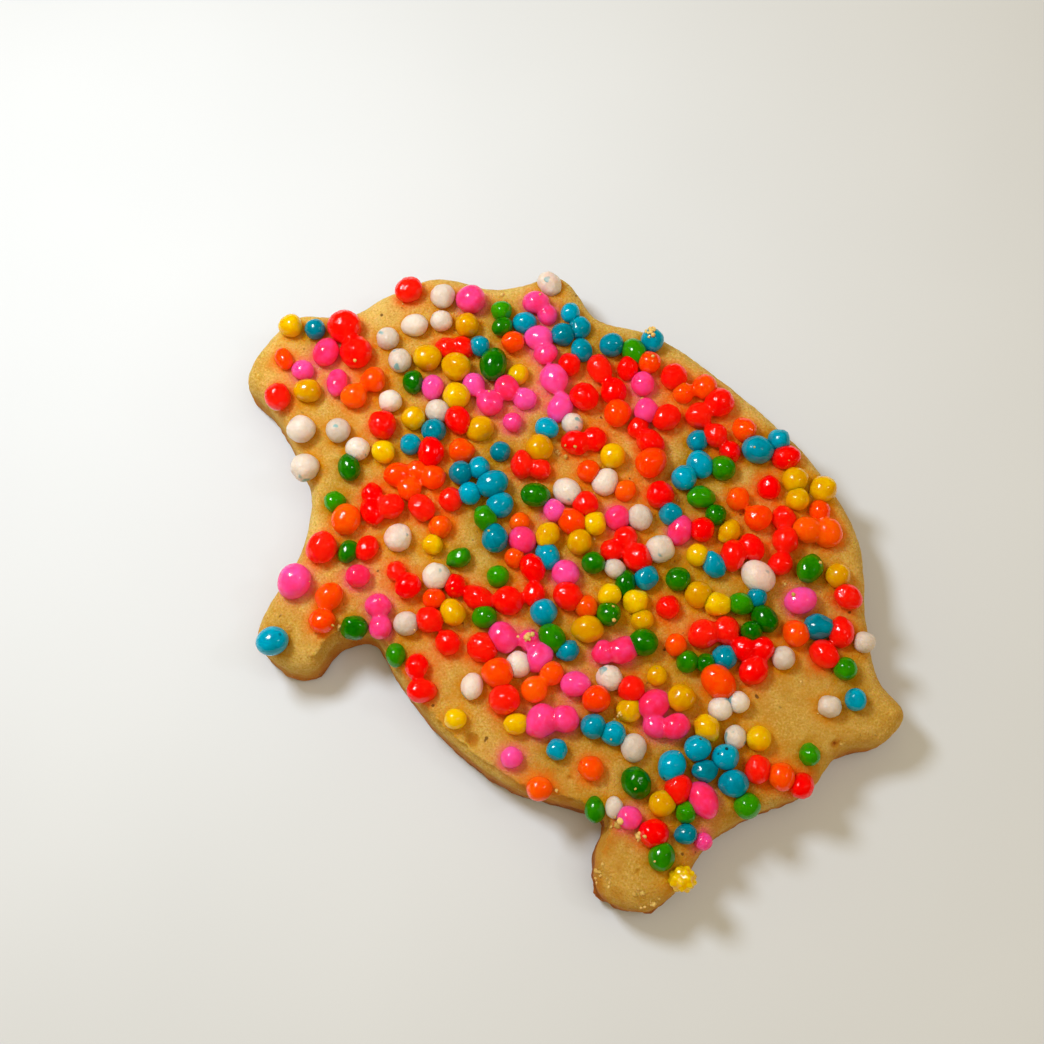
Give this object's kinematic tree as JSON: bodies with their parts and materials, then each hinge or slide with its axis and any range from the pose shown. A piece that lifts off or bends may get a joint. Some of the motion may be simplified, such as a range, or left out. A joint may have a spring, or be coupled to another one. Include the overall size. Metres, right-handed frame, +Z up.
{
  "type": "sprinkle cookie",
  "caption": "Flat animal-shaped butter cookie with a snout, an ear, short feet and a stub tail, its top crusted with coloured round sugar sprinkles.",
  "frame": {"origin": "under the middle of the cookie's box, on the surface it lies on", "axes": "+X from the snout to the tail, +Y from the feet to the back, +Z up out of the sprinkled top"},
  "size_m": [0.0684, 0.0468, 0.008],
  "materials": {
    "dough": "matte",
    "sprinkle_red": "gloss",
    "sprinkle_orange": "gloss",
    "sprinkle_pink": "gloss",
    "sprinkle_yellow": "gloss",
    "sprinkle_green": "gloss",
    "sprinkle_teal": "gloss",
    "sprinkle_white": "matte"
  },
  "bodies": {
    "root": {"cookie": "dough"}
  },
  "joints": []
}
